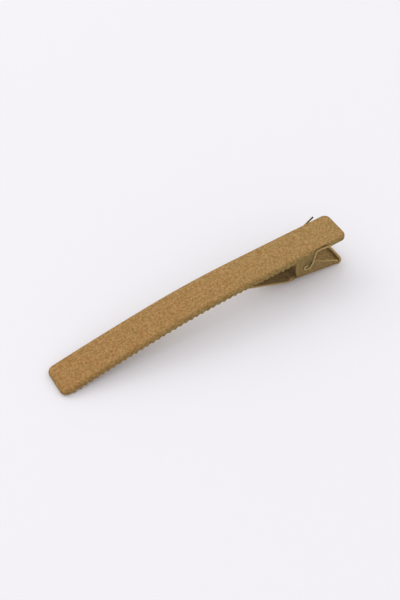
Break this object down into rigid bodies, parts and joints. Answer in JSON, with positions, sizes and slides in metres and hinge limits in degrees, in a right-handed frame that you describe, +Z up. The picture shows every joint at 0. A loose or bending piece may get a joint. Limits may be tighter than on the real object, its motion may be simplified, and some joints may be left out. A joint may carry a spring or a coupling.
{
  "type": "hair clip",
  "caption": "Slim bowed hair clip with toothed side flanges, a cranked lower jaw and one wire spring, all in brown flock.",
  "frame": {"origin": "on the table under the middle of the closed clip's bounding box", "axes": "+X from the tip of the jaws to the press tabs, +Y across the clip along the hinge pin, +Z up"},
  "size_m": [0.075, 0.01, 0.0106],
  "materials": {
    "upper_flock": "short brown flock over sheet metal",
    "lower_flock": "short brown flock over sheet metal",
    "wire_flock": "short brown flock over spring wire"
  },
  "bodies": {
    "lower": {"lower_jaw": "lower_flock", "spring": "wire_flock"},
    "upper": {"upper_jaw": "upper_flock"}
  },
  "joints": [
    {"name": "jaw_hinge", "type": "hinge", "parent": "lower", "child": "upper", "pos_m": [0.0265, 0, 0.00615], "axis": [0, 1, 0], "range_deg": [0, 30], "stiffness_Nm_per_rad": 0.05, "springref_deg": -34.38, "deforming": ["spring"]}
  ]
}
